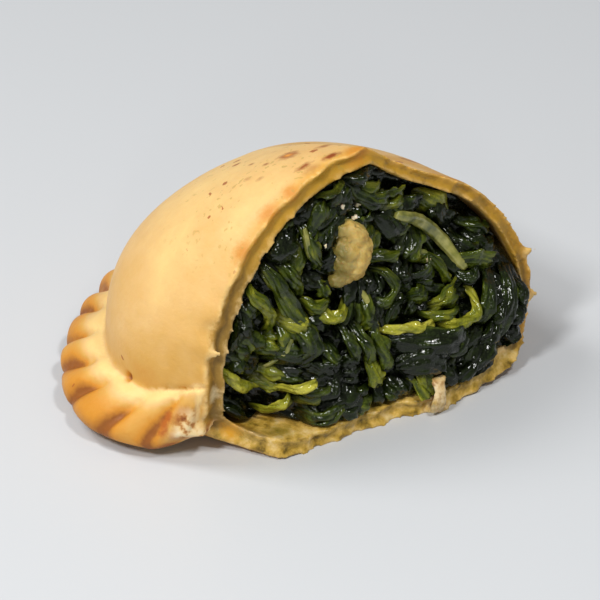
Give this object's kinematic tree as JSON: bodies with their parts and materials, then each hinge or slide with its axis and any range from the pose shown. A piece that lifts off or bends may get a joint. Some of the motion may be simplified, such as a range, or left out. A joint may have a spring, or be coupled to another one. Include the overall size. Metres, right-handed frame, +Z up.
{
  "type": "half empanada with spinach filling",
  "caption": "Half of a baked half-moon empanada, cut across: thin golden crust with a pleated seam, filled with cooked spinach and a lump of white cheese",
  "frame": {"origin": "middle of the base, on the surface it rests on", "axes": "+X points out of the cut face, +Y to the folded side (the pleated seam is on -Y), +Z up"},
  "size_m": [0.0656, 0.0698, 0.043],
  "materials": {
    "baked_dough": "golden baked wheat dough with an egg wash, paler at the top, darker in the grooves of the seam",
    "cooked_spinach": "wet cooked spinach, very dark green with olive folds and stems",
    "white_cheese": "crumbly white cheese, cream coloured"
  },
  "bodies": {
    "root": {"crust": "baked_dough", "spinach_filling": "cooked_spinach", "cheese_lump": "white_cheese"}
  },
  "joints": []
}
